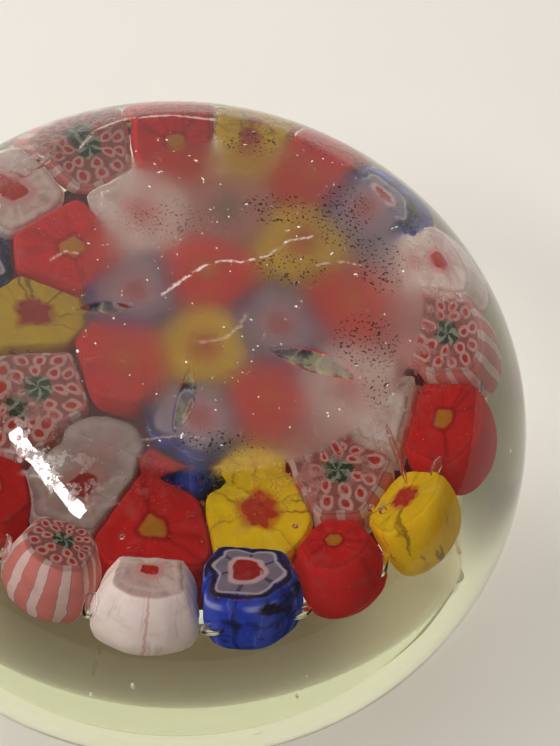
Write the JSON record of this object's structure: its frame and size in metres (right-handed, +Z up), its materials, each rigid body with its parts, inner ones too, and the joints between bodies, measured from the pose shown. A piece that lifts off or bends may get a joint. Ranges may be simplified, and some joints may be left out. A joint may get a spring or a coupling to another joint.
{
  "type": "millefiori paperweight",
  "caption": "Squat clear-glass paperweight with a ground face on top, a ground base, and a close-packed cushion of multicoloured cane slices set in the glass.",
  "frame": {"origin": "centre of the ground base, on the surface the weight stands on", "axes": "+Z up along the weight's axis, out of the ground top face; +X to the right and +Y away from the viewer as the weight is pictured"},
  "size_m": [0.07, 0.07, 0.045],
  "materials": {
    "casing_glass": "fire polished flank, fine-ground matte top face, greenish clear glass",
    "core_glass": "clear greenish glass with seeds",
    "ground_opal": "thin opal layer under the canes, pale greenish white",
    "cane_yellow": "golden yellow translucent cane, irregular red core",
    "cane_red": "deep red cane with a small orange centre",
    "cane_blue": "cobalt blue cane with white petals and a red core",
    "cane_white": "opaque pinkish white cane with a red core",
    "cane_pink": "pink and white striped cane, green centre, rings of red dots"
  },
  "bodies": {
    "root": {"crown_casing": "casing_glass", "foundation_gather": "core_glass", "pale_ground": "ground_opal", "cane_ring0_01_yellow": "cane_yellow", "cane_ring1_01_blue": "cane_blue", "cane_ring1_02_red": "cane_red", "cane_ring1_03_blue": "cane_blue", "cane_ring1_04_red": "cane_red", "cane_ring1_05_blue": "cane_blue", "cane_ring1_06_red": "cane_red", "cane_ring2_01_red": "cane_red", "cane_ring2_02_yellow": "cane_yellow", "cane_ring2_03_pink": "cane_pink", "cane_ring2_04_white": "cane_white", "cane_ring2_05_red": "cane_red", "cane_ring2_06_yellow": "cane_yellow", "cane_ring2_07_pink": "cane_pink", "cane_ring2_08_white": "cane_white", "cane_ring2_09_red": "cane_red", "cane_ring2_10_yellow": "cane_yellow", "cane_ring2_11_pink": "cane_pink", "cane_ring2_12_white": "cane_white", "cane_ring3_01_pink": "cane_pink", "cane_ring3_02_white": "cane_white", "cane_ring3_03_blue": "cane_blue", "cane_ring3_04_red": "cane_red", "cane_ring3_05_yellow": "cane_yellow", "cane_ring3_06_red": "cane_red", "cane_ring3_07_pink": "cane_pink", "cane_ring3_08_white": "cane_white", "cane_ring3_09_blue": "cane_blue", "cane_ring3_10_red": "cane_red", "cane_ring3_11_yellow": "cane_yellow", "cane_ring3_12_red": "cane_red", "cane_ring3_13_pink": "cane_pink", "cane_ring3_14_white": "cane_white", "cane_ring3_15_blue": "cane_blue", "cane_ring3_16_red": "cane_red", "cane_ring3_17_yellow": "cane_yellow", "cane_ring3_18_red": "cane_red"}
  },
  "joints": []
}
